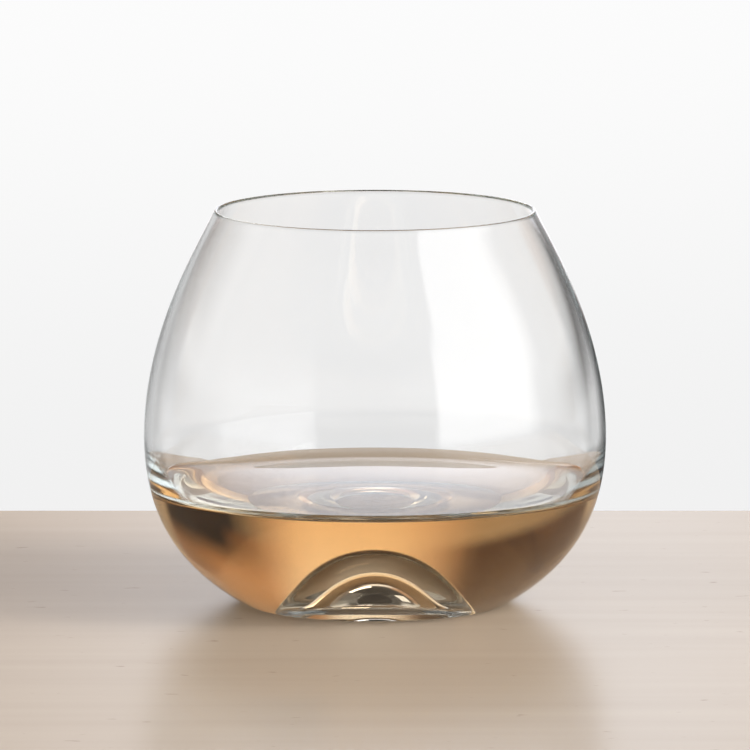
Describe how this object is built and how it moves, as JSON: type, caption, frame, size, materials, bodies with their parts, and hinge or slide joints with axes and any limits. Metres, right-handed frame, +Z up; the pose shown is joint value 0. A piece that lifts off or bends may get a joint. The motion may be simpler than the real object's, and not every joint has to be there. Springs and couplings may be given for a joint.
{
  "type": "cognac glass",
  "caption": "Stemless cognac glass with a round belly, a drawn-in rim and a dome pushed up into its thick base, part filled with a drink that swirls freely in it.",
  "frame": {"origin": "middle of the foot, in the plane that the glass stands on", "axes": "+Z up along the axis that the glass is round about, from the foot to the rim"},
  "size_m": [0.1056, 0.1056, 0.09],
  "materials": {
    "clear_glass": "polished",
    "cognac": "polished"
  },
  "bodies": {
    "glass": {"glass": "clear_glass"},
    "cognac": {"cognac": "cognac"}
  },
  "joints": [
    {"name": "swirl", "type": "hinge", "parent": "glass", "child": "cognac", "pos_m": [0, 0, 0.0253], "axis": [0, 0, 1], "continuous": true}
  ]
}
